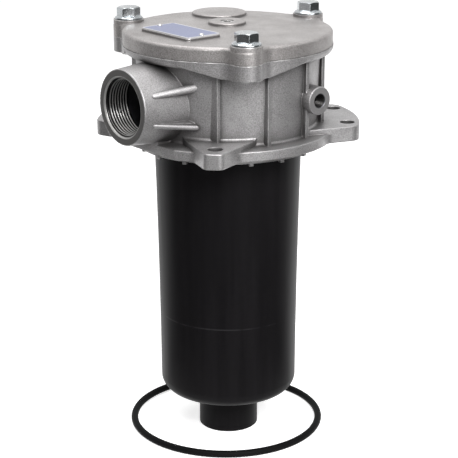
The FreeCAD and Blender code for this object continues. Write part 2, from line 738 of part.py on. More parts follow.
def bowl():
    """Moulded bowl: collar on the ledge, drawn-in wall, round foot and outlet spigot."""
    collar_top = LEDGE_Z + COLLAR_T
    floor_r = BOWL_LOW_R - BOWL_FILLET
    ring_in = SPIGOT_BORE_R + SEAT_RING_GAP
    ring_out = ring_in + SEAT_RING_T
    foot = [(floor_r, BOWL_FLOOR_Z), (SPIGOT_R, BOWL_FLOOR_Z), (SPIGOT_R, BOWL_FOOT_Z + SPIGOT_CHAMFER),
            (SPIGOT_R - SPIGOT_CHAMFER, BOWL_FOOT_Z), (SPIGOT_BORE_R, BOWL_FOOT_Z),
            (SPIGOT_BORE_R, BOWL_INSIDE_Z), (ring_in, BOWL_INSIDE_Z), (ring_in, ELEMENT_BOTTOM_Z),
            (ring_out, ELEMENT_BOTTOM_Z), (ring_out, BOWL_INSIDE_Z), (floor_r, BOWL_INSIDE_Z)]
    collar = [(BOWL_TOP_R - BOWL_WALL, collar_top), (COLLAR_R, collar_top), (COLLAR_R, LEDGE_Z),
              (BOWL_TOP_R, LEDGE_Z)]
    edges = bowl_side(0, LEDGE_Z) + bowl_side(BOWL_WALL, collar_top)
    for line in (foot, collar):
        corners = [V(radius, 0, z) for radius, z in line]
        edges += [Part.LineSegment(a, b).toShape() for a, b in zip(corners, corners[1:])]
    wire = Part.Wire(Part.sortEdges(edges)[0])
    shell = Part.Face(wire).revolve(ORIGIN, UP, 360)
    return shell.cut(seal_groove(CHAMBER_R, BOWL_SEAL_SECTION, bowl_seal_z()))


def bowl_seal_z():
    return LEDGE_Z + COLLAR_T / 2


def bowl_o_ring():
    return seal_ring(CHAMBER_R, BOWL_SEAL_SECTION, bowl_seal_z())


def flange_o_ring():
    """The tank seal, lying loose round the spigot on the floor that the filter stands on."""
    z = BOWL_FOOT_Z + FLANGE_SEAL_SECTION / 2
    return torus(FLANGE_SEAL_CENTRE_R, FLANGE_SEAL_SECTION, z, LOOSE_RING_X, LOOSE_RING_Y)


def element_top_cap():
    disc = rod(CAP_R, MEDIA_HIGH, ELEMENT_TOP_Z)
    skirt = tube(CAP_R, CAP_R - CAP_SKIRT_T, MEDIA_HIGH - CAP_SKIRT, ELEMENT_TOP_Z)
    return fused([disc, skirt]).cut(rod(SEAT_BODY_R, MEDIA_HIGH - PAST, ELEMENT_TOP_Z + PAST))


def neck_seal_z():
    return ELEMENT_BOTTOM_Z - NECK_SEAL_DROP


def element_bottom_cap():
    """End cap with a neck that plugs into the bowl's outlet."""
    disc = rod(CAP_R, ELEMENT_BOTTOM_Z, MEDIA_LOW)
    skirt = tube(CAP_R, CAP_R - CAP_SKIRT_T, ELEMENT_BOTTOM_Z, MEDIA_LOW + CAP_SKIRT)
    neck_low = ELEMENT_BOTTOM_Z - NECK_DROP
    neck = rod(NECK_R, neck_low, MEDIA_LOW)
    bore = rod(NECK_R - NECK_WALL, neck_low - PAST, MEDIA_LOW + PAST)
    groove = seal_groove(SPIGOT_BORE_R, NECK_SEAL_SECTION, neck_seal_z())
    return fused([disc, skirt, neck]).cut([bore, groove])


def neck_o_ring():
    return seal_ring(SPIGOT_BORE_R, NECK_SEAL_SECTION, neck_seal_z())


def pleated_media():
    """Zigzag filter paper, folded round the core as one closed band."""
    def zigzag(outer, inner):
        points = []
        for i in range(PLEAT_COUNT):
            points.append(polar(outer, 360 * i / PLEAT_COUNT, MEDIA_LOW))
            points.append(polar(inner, 360 * (i + 0.5) / PLEAT_COUNT, MEDIA_LOW))
        return Part.makePolygon(points + [points[0]])

    outside = Part.Face(zigzag(PLEAT_OUTER_R, PLEAT_INNER_R + PLEAT_PAPER * 2))
    inside = Part.Face(zigzag(PLEAT_OUTER_R - PLEAT_PAPER * 2, PLEAT_INNER_R))
    return outside.cut(inside).extrude(V(0, 0, MEDIA_HIGH - MEDIA_LOW))


def outer_wrap():
    return tube(WRAP_R, WRAP_R - WRAP_T, MEDIA_LOW, MEDIA_HIGH)


def core_tube():
    """Perforated support tube in rows of round holes."""
    wall = tube(CORE_R, CORE_R - CORE_T, MEDIA_LOW, MEDIA_HIGH)
    free = MEDIA_HIGH - MEDIA_LOW - CAGE_LENGTH
    reach = CORE_R + PAST
    drills = []
    for row in range(CORE_HOLE_ROWS):
        z = MEDIA_LOW + free * (row + 0.5) / CORE_HOLE_ROWS
        for column in range(CORE_HOLE_COLUMNS // 2):
            angle = 360 * (column + 0.5 * (row % 2)) / CORE_HOLE_COLUMNS
            drills.append(Part.makeCylinder(CORE_HOLE_R, 2 * reach, polar(-reach, angle, z), polar(1, angle)))
    return wall.cut(drills)


def bypass_seat():
    """Turned ring in the top cap, whose lower lip is the valve's seat."""
    flange_top = ELEMENT_TOP_Z + SEAT_FLANGE_T
    flange = rod(SEAT_FLANGE_R, ELEMENT_TOP_Z, flange_top)
    body = rod(SEAT_BODY_R, SEAT_LOW, flange_top)
    return fused([flange, body]).cut(rod(SEAT_BORE_R, SEAT_LOW - PAST, flange_top + PAST))


def bypass_cage():
    """Windowed cup under the seat that guides the stem and carries the spring."""
    floor = CAGE_LOW + CAGE_FLOOR_T
    cup = rod(SEAT_BODY_R, CAGE_LOW, SEAT_LOW).cut(rod(SEAT_BODY_R - CAGE_T, floor, SEAT_LOW + PAST))
    cup = fused([cup, rod(GUIDE_BOSS_R, CAGE_LOW, floor + CAGE_BOSS_T)])
    half = CAGE_WINDOW_W / 2
    reach = SEAT_BODY_R + PAST
    window = block(-reach, reach, -half, half, floor + CAGE_WINDOW_SILL, SEAT_LOW - CAGE_WINDOW_LINTEL)
    bore = rod(STEM_R + STEM_FIT, CAGE_LOW - PAST, floor + CAGE_BOSS_T + PAST)
    return cup.cut([window, turn(window, 90), bore])


def bypass_poppet():
    disc = rod(POPPET_R, POPPET_TOP - POPPET_T, POPPET_TOP)
    pilot = rod(PILOT_R, POPPET_TOP - POPPET_T, POPPET_TOP + POPPET_SEAL_T)
    stem = rod(STEM_R, CAGE_LOW - STEM_BELOW_CAGE, POPPET_TOP)
    return fused([disc, pilot, stem])


def poppet_seal():
    return tube(POPPET_R - POPPET_SEAL_INSET, PILOT_R, POPPET_TOP, POPPET_TOP + POPPET_SEAL_T)


def stem_nut():
    top = CAGE_LOW - NUT_GAP
    return hexagon(NUT_AF, top - NUT_T, top).cut(rod(STEM_R, top - NUT_T - PAST, top + PAST))


def coil_spring(mean_r, wire_r, turns, low, high):
    """Wire lofted along a helix in short straight steps, between two flat seats."""
    start = low + SPRING_REST_GAP + wire_r
    rise = high - low - 2 * (wire_r + SPRING_REST_GAP)
    steps = round(turns * SPRING_STEPS_PER_TURN)
    sections = []
    for step in range(steps + 1):
        share = step / steps
        corners = []
        for side in range(SPRING_WIRE_SIDES):
            round_wire = 2 * math.pi * (side + 0.5) / SPRING_WIRE_SIDES
            radius = mean_r + wire_r * math.cos(round_wire)
            z = start + rise * share + wire_r * math.sin(round_wire)
            corners.append(polar(radius, 360 * turns * share, z))
        sections.append(Part.makePolygon(corners + [corners[0]]))
    return Part.makeLoft(sections, True, True)


def bypass_spring():
    low = CAGE_LOW + CAGE_FLOOR_T
    return coil_spring(BYPASS_SPRING_R, BYPASS_WIRE_R, BYPASS_SPRING_TURNS, low, POPPET_TOP - POPPET_T)


def spring_plate():
    """Dished ring that spreads the hold-down spring's load over the top cap."""
    low = ELEMENT_TOP_Z
    plate_r = HOLD_SPRING_R + HOLD_WIRE_R + SPRING_PLATE_MARGIN
    base = rod(plate_r, low, low + SPRING_PLATE_T)
    rim = tube(plate_r, plate_r - SPRING_PLATE_T, low, low + SPRING_PLATE_RIM)
    hole = rod(SEAT_FLANGE_R + SPRING_PLATE_FIT, low - PAST, low + SPRING_PLATE_T + PAST)
    return fused([base, rim]).cut(hole)


def hold_down_spring():
    low = ELEMENT_TOP_Z + SPRING_PLATE_T
    return coil_spring(HOLD_SPRING_R, HOLD_WIRE_R, HOLD_SPRING_TURNS, low, COVER_UNDER_Z)


PIECES = {
    "head_casting": head_casting,
    "cover": cover,
    "cover_o_ring": cover_o_ring,
    "cover_bolts": cover_bolts,
    "vent_plug": vent_plug,
    "nameplate": nameplate,
    "nameplate_rivets": nameplate_rivets,
    "bowl": bowl,
    "bowl_o_ring": bowl_o_ring,
    "flange_o_ring": flange_o_ring,
    "element_top_cap": element_top_cap,
    "element_bottom_cap": element_bottom_cap,
    "neck_o_ring": neck_o_ring,
    "pleated_media": pleated_media,
    "outer_wrap": outer_wrap,
    "core_tube": core_tube,
    "bypass_seat": bypass_seat,
    "bypass_cage": bypass_cage,
    "bypass_poppet": bypass_poppet,
    "poppet_seal": poppet_seal,
    "stem_nut": stem_nut,
    "bypass_spring": bypass_spring,
    "spring_plate": spring_plate,
    "hold_down_spring": hold_down_spring,
}

os.makedirs("parts", exist_ok=True)
for name, make in PIECES.items():
    solid = make()
    solid.exportStep("parts/" + name + ".step")
    print(name, "solids", len(solid.Solids), "valid", solid.isValid(), "volume", round(solid.Volume))
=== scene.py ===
"""Portrait of a tank-top return line filter that stands on the spigot of its bowl.

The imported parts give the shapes. This script gives them their finishes, and it adds the threads
of the two ports, the rounded crests of the port's fins and the wound spring of the bypass valve.
It also sets the floor, the light and the camera.
Metres. +Z is up, the inlet looks along -X and the bowl hangs down along -Z.
"""
import json
import math

import bpy
import numpy as np
from mathutils import Matrix, Vector


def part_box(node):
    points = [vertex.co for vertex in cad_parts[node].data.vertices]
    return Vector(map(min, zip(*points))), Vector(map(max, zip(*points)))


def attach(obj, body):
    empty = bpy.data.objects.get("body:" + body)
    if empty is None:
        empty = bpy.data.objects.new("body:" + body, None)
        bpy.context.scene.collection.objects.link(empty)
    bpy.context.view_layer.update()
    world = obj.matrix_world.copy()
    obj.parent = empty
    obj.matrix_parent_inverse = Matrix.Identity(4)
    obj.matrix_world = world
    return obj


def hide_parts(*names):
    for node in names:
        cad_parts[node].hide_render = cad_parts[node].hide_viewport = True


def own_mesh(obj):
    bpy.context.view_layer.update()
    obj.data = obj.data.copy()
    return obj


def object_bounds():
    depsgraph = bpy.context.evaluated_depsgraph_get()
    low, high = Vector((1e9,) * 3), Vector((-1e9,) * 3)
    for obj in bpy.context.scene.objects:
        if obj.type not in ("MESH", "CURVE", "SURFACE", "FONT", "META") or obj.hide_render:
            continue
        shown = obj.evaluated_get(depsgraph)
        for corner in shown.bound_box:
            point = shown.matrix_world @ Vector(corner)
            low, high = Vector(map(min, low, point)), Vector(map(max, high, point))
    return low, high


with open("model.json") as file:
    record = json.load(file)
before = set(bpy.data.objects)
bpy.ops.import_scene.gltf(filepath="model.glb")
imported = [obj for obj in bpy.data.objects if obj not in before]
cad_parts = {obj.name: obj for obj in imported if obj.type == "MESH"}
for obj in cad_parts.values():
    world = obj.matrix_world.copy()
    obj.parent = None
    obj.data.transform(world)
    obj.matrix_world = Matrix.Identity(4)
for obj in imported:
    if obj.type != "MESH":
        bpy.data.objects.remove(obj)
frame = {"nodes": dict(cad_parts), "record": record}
CAD_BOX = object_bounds()
NODES = frame["nodes"]
MOUNTS = {mount["name"]: mount for mount in frame["record"]["mounts"]}
HOUSING = "housing"
MM = 0.001
ORIGIN = (0.0, 0.0, 0.0)
UP = (0.0, 0.0, 1.0)

# Camera: a long lens a little above the cover
CAMERA_PLACE = Vector((-706.8, -862.5, 281.1)) * MM
CAMERA_HEADING = 50.63
CAMERA_PITCH = 17.644
CAMERA_ROLL = -0.106
CAMERA_LENS = 122.37
CAMERA_SENSOR = 36.0
CAMERA_REACH = 50.0

# Lamps: name, place, width, height and watts, all turned to one point of the head
LAMP_AIM = Vector((0.0, 0.0, 0.03))
LAMPS = (
    ("key", (-0.47, -1.17, 0.85), 0.8, 0.6, 29.0),
    ("overhead", (-0.10, 0.20, 1.50), 1.2, 1.2, 16.0),
    ("front_low", (-0.05, -1.45, -0.25), 1.0, 0.4, 6.5),
    ("left_fill", (-1.45, -0.30, 0.45), 0.8, 1.0, 2.0),
)
WORLD_FILL = 0.22
BACKGROUND_WHITE = 1.0
WHITE = (1.0, 1.0, 1.0, 1.0)

# Floor: the tone that takes the shadow, and the glow that brings it up to white
FLOOR_Z = CAD_BOX[0].z
FLOOR_R = 6.0
FLOOR_SIDES = 96
FLOOR_TONE = (0.82, 0.82, 0.82, 1.0)
FLOOR_GLOW = 0.72

# Dark cards: a sweep that lies just over the floor and turns up at its outer edge
CARD_INNER_R = 0.13
CARD_OUTER_R = 1.90
CARD_TOP = 1.25
CARD_LIFT = 2.0 * MM
CARD_HALF_ARC = 108.0
CARD_STEPS = 40
CARD_TONE = (0.10, 0.10, 0.10, 1.0)
CARD_ROUGH = 0.9

# Faces and bores turned after casting: place, radius, and how far the finish reaches along the axis
TOOL_FEED = 0.4 * MM
INLET_FACE_X = -95.0 * MM
INLET_FACE_R = 26.3 * MM
INLET_FACE_BAND = (-0.2 * MM, 1.0 * MM)
INLET_MOUTH_BAND = (-2.0 * MM, 1.0 * MM)
INLET_BORE_BAND = (-45.0 * MM, -2.0 * MM)
INLET_BORE_ROOM = 1.2 * MM
INDICATOR_FACE_Y = -72.6 * MM
INDICATOR_FACE_R = 9.4 * MM
INDICATOR_BORE_BAND = (-20.0 * MM, 0.0)
INDICATOR_BORE_ROOM = 0.6 * MM
THIN_FACE_BAND = (-0.1 * MM, 1.0 * MM)
TANK_FACE_R = 90.0 * MM
TANK_FACE_BAND = (-0.05 * MM, 0.05 * MM)
SPOTFACE_Z = 81.0 * MM
SPOTFACE_R = 10.8 * MM
BOLT_CIRCLE_R = 78.1 * MM
BOLT_ANGLES = (-120.0, 0.0, 120.0)

# Threads: pitch, depth, length and start under the face of the two pipe sizes
INLET_PITCH = 2.309 * MM
INLET_DEPTH = 1.479 * MM
INLET_THREAD_LENGTH = 19.5 * MM
INLET_THREAD_START = 1.1 * MM
INDICATOR_PITCH = 0.907 * MM
INDICATOR_DEPTH = 0.581 * MM
INDICATOR_THREAD_LENGTH = 9.0 * MM
INDICATOR_THREAD_START = 0.5 * MM
THREAD_FLAT = 0.125
LINING_ROOM = 0.02 * MM
LINING_WALL = 0.01 * MM
STEPS_PER_TURN = 144
STEPS_PER_PITCH = 12

# Bypass spring, which the opening valve presses together
BYPASS_WIRE_R = 0.9 * MM
BYPASS_SPRING_TURNS = 5.5
SPRING_STEPS = 48
WIRE_SIDES = 16

# Fins on the port's flanks, and the rounding of their edges
FIN_START_X = 88.0 * MM
FIN_LENGTH = 38.0 * MM
FIN_EDGE_R = 27.0 * MM
FIN_SLOPE = 0.26
FIN_TIP_T = 3.2 * MM
FIN_UPPER_TILT = 23.5
FIN_UPPER_ROOT_T = 7.0 * MM
FIN_UPPER_REACH = 0.6 * MM
FIN_UPPER_CREST = 35.2 * MM
FIN_LOWER_TILT = -21.0
FIN_LOWER_ROOT_T = 3.8 * MM
FIN_LOWER_REACH = 3.6 * MM
FIN_LOWER_CREST = 32.5 * MM
FIN_SKIN = 0.12 * MM
FIN_BULGE = 0.75
FIN_NOSE = 1.6 * MM
FIN_NOSE_LEAST = 0.05
FIN_FOOT = 1.5 * MM
FIN_FOOT_SHARE = 0.85
FIN_STEPS = 48
FIN_ARCH_STEPS = 12

# Skin of a casting or moulding: noise scales are cells to the metre
CLOUD_SCALE = 38.0
CLOUD_RANGE = (0.3, 0.7)
GRAIN_SHARE = 0.66
PITS_PER_GRAIN = 0.22
PIT_RANGE = (0.06, 0.16)
PIT_DARKNESS = 0.3
MASK_SAMPLES = 8

# Corners painted bright, partly rubbed metal and partly painted highlight: how far the rounded normal turns
# there, and how the shine is broken up
EDGE_MATCH = (0.995, 0.90)
EDGE_PATCH_SCALE = 120.0
EDGE_PATCH_RANGE = (0.42, 0.58)

# Cast aluminium
CAST_METALLIC = 0.82
CAST_TONE_RANGE = (0.32, 0.68)
CAST_ROUGH = (0.52, 0.42)
CAST_EDGE_WIDTH = 0.9 * MM
# Share of the painted highlight on corners, partly rubbed metal
CAST_EDGE_WEAR_AND_HIGHLIGHT_SHARE = 0.65
CAST_BUMP = 0.75
CAST_BUMP_DEPTH = 0.12 * MM
HEAD_PITTING = 0.5
COVER_PITTING = 0.35
# Painted shade in recesses and under overhangs: how far it looks, where it fades, and its strongest share
PAINTED_SHADE_REACH = 14.0 * MM
PAINTED_SHADE_RANGE = (0.30, 0.98)
PAINTED_SHADE_SHARE = 0.88
RING_ROUGH = 0.15
RING_HEIGHT = 0.35
INLET_FACE_ROUGH = 0.42
INLET_MOUTH_ROUGH = 0.30
BORE_ROUGH = 0.40
INDICATOR_FACE_ROUGH = 0.36
SEAT_ROUGH = 0.32
THREAD_ROUGH = 0.32
THREAD_CREST_SHARES = (0.85, 0.45)

# Plated, drawn and turned metal
METAL_GRAIN = 0.5 * MM
METAL_EDGE_WIDTH = 0.35 * MM
METAL_TONE_RANGE = (0.3, 0.7)
METAL_ROUGH_SPREAD = 0.06
METAL_BUMP = 0.2
METAL_BUMP_DEPTH = 0.03 * MM
ZINC_ROUGH = 0.15
PLUG_ROUGH = 0.12
BRIGHT_ROUGH = 0.20
SPRING_ROUGH = 0.32

# Nylon, rubber and paper
SOFT_PITTING = 0.2
SOFT_BUMP = 0.4
BLOOM_RANGE = (0.35, 0.75)
NYLON_GRAIN = 0.6 * MM
NYLON_BUMP_DEPTH = 0.02 * MM
NYLON_ROUGH = (0.38, 0.47)
NYLON_GLOSS = 0.06
RUBBER_GRAIN = 0.5 * MM
RUBBER_BUMP_DEPTH = 0.02 * MM
RUBBER_ROUGH = (0.51, 0.60)
RUBBER_GLOSS = 0.05
PAPER_GRAIN = 0.5 * MM
PAPER_BUMP_DEPTH = 0.05 * MM
PAPER_ROUGH = (0.81, 0.90)
PAPER_GLOSS = 0.5

# Marks on the bowl: streaks drawn out upwards, and one witness line
STREAK_STRETCH = 0.05
STREAK_SCALE = 110.0
STREAK_RANGE = (0.36, 0.72)
STREAK_SHARE = 0.45
BOWL_ROUGH = (0.36, 0.44)
WITNESS_Z = -135.0 * MM
WITNESS_RANGE = (0.2 * MM, 0.7 * MM)
WITNESS_BREAKS = (0.44, 0.58)

# Nameplate
PLATE_METALLIC = 0.55
PLATE_BORDER = 1.0 * MM
PLATE_PRINT_DEPTH = 0.05 * MM
PLATE_GRAIN = 0.4 * MM
PLATE_TONE_RANGE = (0.35, 0.65)
PLATE_ROUGH = (0.34, 0.44)
PLATE_BUMP = 0.15
PLATE_BUMP_DEPTH = 0.02 * MM

# Colours
CAST_LIGHT = (0.460, 0.452, 0.455)
CAST_DARK = (0.225, 0.218, 0.219)
# Corners: painted highlight, partly rubbed metal
CAST_EDGE_WEAR_AND_HIGHLIGHT = (0.850, 0.840, 0.835)
# Painted shade for recesses and under the rim and lobes
CAST_PAINTED_SHADE = (0.085, 0.081, 0.080)
COVER_LIGHT = (0.478, 0.458, 0.452)
COVER_DARK = (0.234, 0.221, 0.216)
TURNED_BRIGHT = (0.560, 0.555, 0.545)
TURNED_DARK = (0.200, 0.196, 0.190)
# Inlet face and bores painted dark as painted shade
PORT_FACE_SHADE_DARK = (0.085, 0.082, 0.080)
PORT_FACE_SHADE_LIGHT = (0.165, 0.160, 0.156)
BORE_SHADE_DARK = (0.060, 0.060, 0.066)
BORE_SHADE_LIGHT = (0.160, 0.160, 0.172)
# Threads: painted shade in the valleys and on the small thread's crests, and a painted highlight on the
# inlet's crests
THREAD_VALLEY_SHADE = (0.022, 0.021, 0.021)
THREAD_CREST_HIGHLIGHT = (0.440, 0.435, 0.428)
SMALL_THREAD_CREST_SHADE = (0.040, 0.039, 0.038)
ZINC_LIGHT = (0.660, 0.690, 0.710)
ZINC_DARK = (0.215, 0.232, 0.242)
PLATE_BLUE = (0.176, 0.194, 0.325)
PLATE_BLUE_PALE = (0.262, 0.283, 0.400)
BARE_METAL = (0.660, 0.660, 0.670)
PLUG_BRIGHT = (0.960, 0.955, 0.950)
NYLON_BLACK = (0.0048, 0.0044, 0.0050)
NYLON_BLOOM = (0.0066, 0.0060, 0.0070)
BOWL_STREAK = (0.0092, 0.0084, 0.0094)
WITNESS_GREY = (0.0180, 0.0175, 0.0185)
RUBBER_BLACK = (0.0036, 0.0036, 0.0038)
RUBBER_BLOOM = (0.0060, 0.0060, 0.0064)
PAPER_CREAM = (0.690, 0.640, 0.500)
PAPER_SHADE = (0.520, 0.470, 0.350)
STEEL_LIGHT = (0.420, 0.420, 0.430)
STEEL_DARK = (0.220, 0.220, 0.230)


def connect(tree, source, target):
    """Link one socket to another."""
    tree.links.new(source, target)


def add(tree, kind, inputs=None, **properties):
    """Add a node, set its properties, and feed its inputs with values or with other sockets."""
    made = tree.nodes.new(kind)
    for name, value in properties.items():
        setattr(made, name, value)
    for name, value in (inputs or {}).items():
        if isinstance(value, bpy.types.NodeSocket):
            connect(tree, value, made.inputs[name])
        else:
            made.inputs[name].default_value = value
    return made


def calculate(tree, operation, *values):
    """One arithmetic node; returns its result socket."""
    return add(tree, "ShaderNodeMath", dict(enumerate(values)), operation=operation).outputs[0]


def vector_math(tree, operation, *values):
    """One vector node; returns the node, because its result is a vector or a number."""
    return add(tree, "ShaderNodeVectorMath", dict(enumerate(values)), operation=operation)


def remap(tree, value, limits, ends=(0.0, 1.0)):
    """Smooth step of a value between two limits, from one end to the other."""
    inputs = {"Value": value, "From Min": limits[0], "From Max": limits[1],
              "To Min": ends[0], "To Max": ends[1]}
    return add(tree, "ShaderNodeMapRange", inputs, interpolation_type="SMOOTHSTEP").outputs["Result"]


def noise(tree, place, scale, detail, roughness):
    """Soft noise between 0 and 1, with its scale in cells to the metre."""
    inputs = {"Vector": place, "Scale": scale, "Detail": detail, "Roughness": roughness}
    return add(tree, "ShaderNodeTexNoise", inputs).outputs["Fac"]


# The sockets of a Mix node repeat their names, so these two tell them by their place
def mix_values(tree, factor, first, second):
    """Blend two numbers."""
    return add(tree, "ShaderNodeMix", {0: factor, 2: first, 3: second}).outputs[0]


def mix_colors(tree, factor, first, second):
    """Blend two colours, each a socket or three numbers."""
    ends = [color if isinstance(color, bpy.types.NodeSocket) else (*color, 1.0) for color in (first, second)]
    return add(tree, "ShaderNodeMix", {0: factor, 6: ends[0], 7: ends[1]}, data_type="RGBA").outputs[2]


def new_group(name, inputs, outputs):
    """Start a shader group with float or vector inputs; returns the tree and its two ends."""
    tree = bpy.data.node_groups.new(name, "ShaderNodeTree")
    for label, value in inputs.items():
        kind = "NodeSocketVector" if isinstance(value, tuple) else "NodeSocketFloat"
        socket = tree.interface.new_socket(label, in_out="INPUT", socket_type=kind)
        socket.default_value = value
    for label in outputs:
        kind = "NodeSocketVector" if label == "Normal" else "NodeSocketFloat"
        tree.interface.new_socket(label, in_out="OUTPUT", socket_type=kind)
    return tree, tree.nodes.new("NodeGroupInput").outputs, tree.nodes.new("NodeGroupOutput").inputs


def cast_skin_group():
    """Skin of a blasted casting: fine grain over soft clouds, with a few small pits."""
    inputs = {"Position": ORIGIN, "Grain Size": 0.7 * MM, "Pitting": 0.5}
    tree, given, result = new_group("cast_skin", inputs, ("Tone", "Cloud", "Height"))
    scale = calculate(tree, "DIVIDE", 1.0, given["Grain Size"])
    grain = noise(tree, given["Position"], scale, detail=3.0, roughness=0.6)
    cloud = noise(tree, given["Position"], CLOUD_SCALE, detail=5.0, roughness=0.55)
    pit_scale = calculate(tree, "MULTIPLY", scale, PITS_PER_GRAIN)
    cells = add(tree, "ShaderNodeTexVoronoi", {"Vector": given["Position"], "Scale": pit_scale},
                feature="F1").outputs["Distance"]
    pits = calculate(tree, "MULTIPLY", remap(tree, cells, PIT_RANGE, (1.0, 0.0)), given["Pitting"])
    tone = calculate(tree, "ADD", calculate(tree, "MULTIPLY", grain, GRAIN_SHARE),
                     calculate(tree, "MULTIPLY", cloud, 1.0 - GRAIN_SHARE))
    dark_pits = calculate(tree, "MULTIPLY", pits, PIT_DARKNESS)
    connect(tree, calculate(tree, "SUBTRACT", tone, dark_pits), result["Tone"])
    connect(tree, cloud, result["Cloud"])
    connect(tree, calculate(tree, "SUBTRACT", grain, pits), result["Height"])
    return tree


def edge_wear_and_highlight_group():
    """Mask of the corners painted bright, in patches: partly metal rubbed bright by handling and blasting,
    partly painted highlight.
    """
    inputs = {"Position": ORIGIN, "Width": 1.0 * MM, "Breakup": 0.5}
    tree, given, result = new_group("edge_wear_and_highlight", inputs, ("Mask", "Normal"))
    soft = add(tree, "ShaderNodeBevel", {"Radius": given["Width"]}, samples=MASK_SAMPLES).outputs["Normal"]
    plain = add(tree, "ShaderNodeNewGeometry").outputs["Normal"]
    match = vector_math(tree, "DOT_PRODUCT", soft, plain).outputs["Value"]
    patches = noise(tree, given["Position"], EDGE_PATCH_SCALE, detail=3.0, roughness=0.6)
    loss = calculate(tree, "MULTIPLY", remap(tree, patches, EDGE_PATCH_RANGE), given["Breakup"])
    kept = calculate(tree, "SUBTRACT", 1.0, loss)
    connect(tree, calculate(tree, "MULTIPLY", remap(tree, match, EDGE_MATCH), kept), result["Mask"])
    connect(tree, soft, result["Normal"])
    return tree


def turned_zone_group():
    """Round zone about an axis: a mask between two depths, and fine rings of a turning tool."""
    inputs = {"Position": ORIGIN, "Centre": ORIGIN, "Axis": UP, "Radius": 20.0 * MM,
              "Low": -1.0 * MM, "High": 1.0 * MM, "Feed": TOOL_FEED}
    tree, given, result = new_group("turned_zone", inputs, ("Mask", "Rings", "Distance"))
    offset = vector_math(tree, "SUBTRACT", given["Position"], given["Centre"]).outputs["Vector"]
    along = vector_math(tree, "DOT_PRODUCT", offset, given["Axis"]).outputs["Value"]
    lift = add(tree, "ShaderNodeVectorMath", {0: given["Axis"], "Scale": along},
               operation="SCALE").outputs["Vector"]
    flat = vector_math(tree, "SUBTRACT", offset, lift).outputs["Vector"]
    distance = vector_math(tree, "LENGTH", flat).outputs["Value"]
    inside = calculate(tree, "LESS_THAN", distance, given["Radius"])
    above = calculate(tree, "GREATER_THAN", along, given["Low"])
    below = calculate(tree, "LESS_THAN", along, given["High"])
    mask = calculate(tree, "MULTIPLY", inside, calculate(tree, "MULTIPLY", above, below))
    turns = calculate(tree, "DIVIDE", calculate(tree, "ADD", distance, along), given["Feed"])
    rings = add(tree, "ShaderNodeTexNoise", {"W": turns, "Scale": 1.0, "Detail": 3.0, "Roughness": 0.7},
                noise_dimensions="1D").outputs["Fac"]
    connect(tree, mask, result["Mask"])
    connect(tree, rings, result["Rings"])
    connect(tree, distance, result["Distance"])
    return tree


CAST_SKIN = cast_skin_group()
EDGE_WEAR_AND_HIGHLIGHT = edge_wear_and_highlight_group()
TURNED_ZONE = turned_zone_group()


def use_group(tree, group, inputs):
    """Place a shader group in a material, feed its inputs and return its outputs."""
    return add(tree, "ShaderNodeGroup", inputs, node_tree=group).outputs


def start_material(name, **constants):
    """New material; returns it with its tree, its shader and the object position socket."""
    made = bpy.data.materials.new(name)
    made.use_nodes = True
    tree = made.node_tree
    shader = tree.nodes["Principled BSDF"]
    for label, value in constants.items():
        shader.inputs[label.replace("_", " ")].default_value = value
    position = tree.nodes.new("ShaderNodeTexCoord").outputs["Object"]
    return made, tree, shader, position


def bump(tree, shader, height, strength, distance, normal=None):
    """Raise the surface by a height, over its own normal or over the rounded one of its corners."""
    inputs = {"Height": height, "Strength": strength, "Distance": distance}
    if normal is not None:
        inputs["Normal"] = normal
    connect(tree, add(tree, "ShaderNodeBump", inputs).outputs["Normal"], shader.inputs["Normal"])


def cast_aluminium(name, zones, dark, light, pitting):
    """Blasted cast aluminium, with painted highlight on corners, partly rubbed metal, and painted shade in
    recesses and under overhangs; zones were cut after casting.
    """
    made, tree, shader, position = start_material(name, Metallic=CAST_METALLIC)
    skin = use_group(tree, CAST_SKIN, {"Position": position, "Pitting": pitting})
    edges = use_group(tree, EDGE_WEAR_AND_HIGHLIGHT, {"Position": position, "Width": CAST_EDGE_WIDTH, "Breakup": 1.0})
    color = mix_colors(tree, remap(tree, skin["Tone"], CAST_TONE_RANGE), dark, light)
    # Painted highlight, partly rubbed metal: the corners' colour is lightened towards near-white
    color = mix_colors(tree, calculate(tree, "MULTIPLY", edges["Mask"], CAST_EDGE_WEAR_AND_HIGHLIGHT_SHARE), color, CAST_EDGE_WEAR_AND_HIGHLIGHT)
    # Painted shade: where little open sky is seen, in recesses, at rib roots and under the rim and lobes, the
    # colour is darkened
    open_sky = add(tree, "ShaderNodeAmbientOcclusion", {"Distance": PAINTED_SHADE_REACH},
                   samples=MASK_SAMPLES).outputs["AO"]
    color = mix_colors(tree, remap(tree, open_sky, PAINTED_SHADE_RANGE, (PAINTED_SHADE_SHARE, 0.0)), color, CAST_PAINTED_SHADE)
    rough = remap(tree, skin["Cloud"], CLOUD_RANGE, CAST_ROUGH)
    height = skin["Height"]
    for zone in zones:
        turned = use_group(tree, TURNED_ZONE, {"Position": position, **zone["place"]})
        finish = mix_colors(tree, turned["Rings"], zone["dark"], zone["light"])
        color = mix_colors(tree, turned["Mask"], color, finish)
        zone_rough = calculate(tree, "MULTIPLY_ADD", turned["Rings"], RING_ROUGH, zone["rough"])
        rough = mix_values(tree, turned["Mask"], rough, zone_rough)
        fine = calculate(tree, "MULTIPLY", turned["Rings"], RING_HEIGHT)
        height = mix_values(tree, turned["Mask"], height, fine)
    connect(tree, color, shader.inputs["Base Color"])
    connect(tree, rough, shader.inputs["Roughness"])
    bump(tree, shader, height, CAST_BUMP, CAST_BUMP_DEPTH, edges["Normal"])
    return made


def turned_zone(centre, axis, radius, band, dark, light, rough):
    """A face or bore cut by a turning tool, for cast_aluminium."""
    place = {"Centre": centre, "Axis": axis, "Radius": radius, "Low": band[0], "High": band[1]}
    return {"place": place, "dark": dark, "light": light, "rough": rough}


